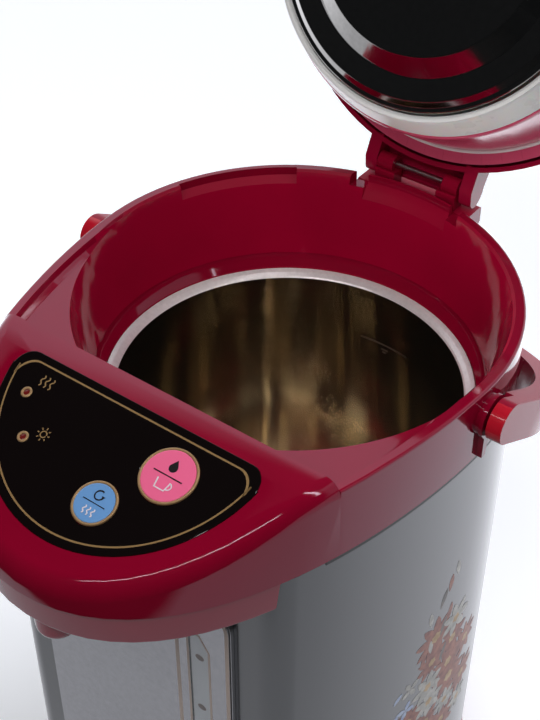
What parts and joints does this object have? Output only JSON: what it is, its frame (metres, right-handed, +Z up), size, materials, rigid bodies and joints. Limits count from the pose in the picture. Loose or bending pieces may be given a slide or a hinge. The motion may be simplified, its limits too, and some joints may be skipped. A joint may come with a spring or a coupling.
{
  "type": "electric thermo pot",
  "caption": "Electric hot-water pot with a hinged lid, sloped push-button nose over a pump spout, water gauge and a bail handle.",
  "frame": {"origin": "centre of the base on the pot's axis, at the height of the table", "axes": "+X to the right of someone facing the pot's front, -Y to the front (the nose and spout), +Z up"},
  "size_m": [0.2396, 0.3904, 0.5519],
  "materials": {
    "body_metal": "satin dark grey paint",
    "panel_metal": "satin lighter grey",
    "burgundy_plastic": "moulded, semi-gloss",
    "burgundy_dark": "moulded, semi-gloss, darker",
    "plate_black": "glossy black with a thin gold line",
    "gold_trim": "bright gold plated",
    "pink_button": "glossy",
    "blue_button": "glossy",
    "pot_steel": "polished and drawn",
    "plate_steel": "polished",
    "clear_plastic": "clear, smooth",
    "white_plastic": "smooth",
    "soft_white": "translucent silicone",
    "black_plastic": "fine grain",
    "rubber_black": "matt",
    "board_green": "coated board",
    "heater_alloy": "as cast",
    "mica_band": "wound band",
    "bolt_steel": "plain"
  },
  "bodies": {
    "housing": {"body_shell": "body_metal", "front_panel": "panel_metal", "gauge_window": "clear_plastic", "gauge_tube": "clear_plastic", "gauge_back": "white_plastic", "collar": "burgundy_plastic", "nose_cover": "burgundy_dark", "spout": "burgundy_dark", "control_plate": "plate_black", "lamp_lenses": "gold_trim", "control_board": "board_green", "tact_switches": "black_plastic", "inner_pot": "pot_steel", "pot_gasket": "soft_white", "heater_plate": "heater_alloy", "band_heater": "mica_band", "thermostat": "white_plastic", "pump": "white_plastic", "pump_motor": "bolt_steel", "inlet_hose": "soft_white", "riser_hose": "soft_white", "outlet_hose": "soft_white", "mains_board": "board_green", "base_ring": "burgundy_plastic", "bottom_plate": "black_plastic", "base_screws": "bolt_steel", "mains_inlet": "black_plastic", "inlet_pins": "bolt_steel", "nose_screws": "bolt_steel", "hinge_pin": "bolt_steel", "turntable_screw": "bolt_steel"},
    "lid": {"lid_shell": "burgundy_plastic", "lid_liner": "burgundy_plastic", "lid_ring": "soft_white", "lid_seal": "soft_white", "lid_plate": "plate_steel", "steam_valve": "white_plastic", "lid_screws": "bolt_steel", "lever_pin": "bolt_steel"},
    "lid_lever": {"lid_lever": "burgundy_dark"},
    "turntable": {"turntable": "black_plastic", "turntable_feet": "rubber_black"},
    "handle": {"handle_bail": "burgundy_plastic"},
    "dispense_button": {"dispense_button": "pink_button"},
    "reboil_button": {"reboil_button": "blue_button"}
  },
  "joints": [
    {"name": "lid_hinge", "type": "hinge", "parent": "housing", "child": "lid", "pos_m": [0, 0.1135, 0.349], "axis": [1, 0, 0], "range_deg": [0, 116]},
    {"name": "lid_lever_pivot", "type": "hinge", "parent": "lid", "child": "lid_lever", "pos_m": [0, 0.19989, 0.51882], "axis": [1, 0, 0], "range_deg": [0, 35], "stiffness_Nm_per_rad": 0.02, "springref_deg": -20.05},
    {"name": "handle_swing", "type": "hinge", "parent": "housing", "child": "handle", "pos_m": [0, -0.0045, 0.329], "axis": [1, 0, 0], "range_deg": [0, 34]},
    {"name": "dispense_press", "type": "slide", "parent": "housing", "child": "dispense_button", "axis": [0, 0.342, -0.9397], "range_m": [0, 0.0008], "stiffness_N_per_m": 600, "springref_m": -0.001},
    {"name": "reboil_press", "type": "slide", "parent": "housing", "child": "reboil_button", "axis": [0, 0.342, -0.9397], "range_m": [0, 0.0008], "stiffness_N_per_m": 600, "springref_m": -0.001},
    {"name": "base_swivel", "type": "hinge", "parent": "housing", "child": "turntable", "pos_m": [0, 0, 0], "axis": [0, 0, 1], "continuous": true}
  ]
}
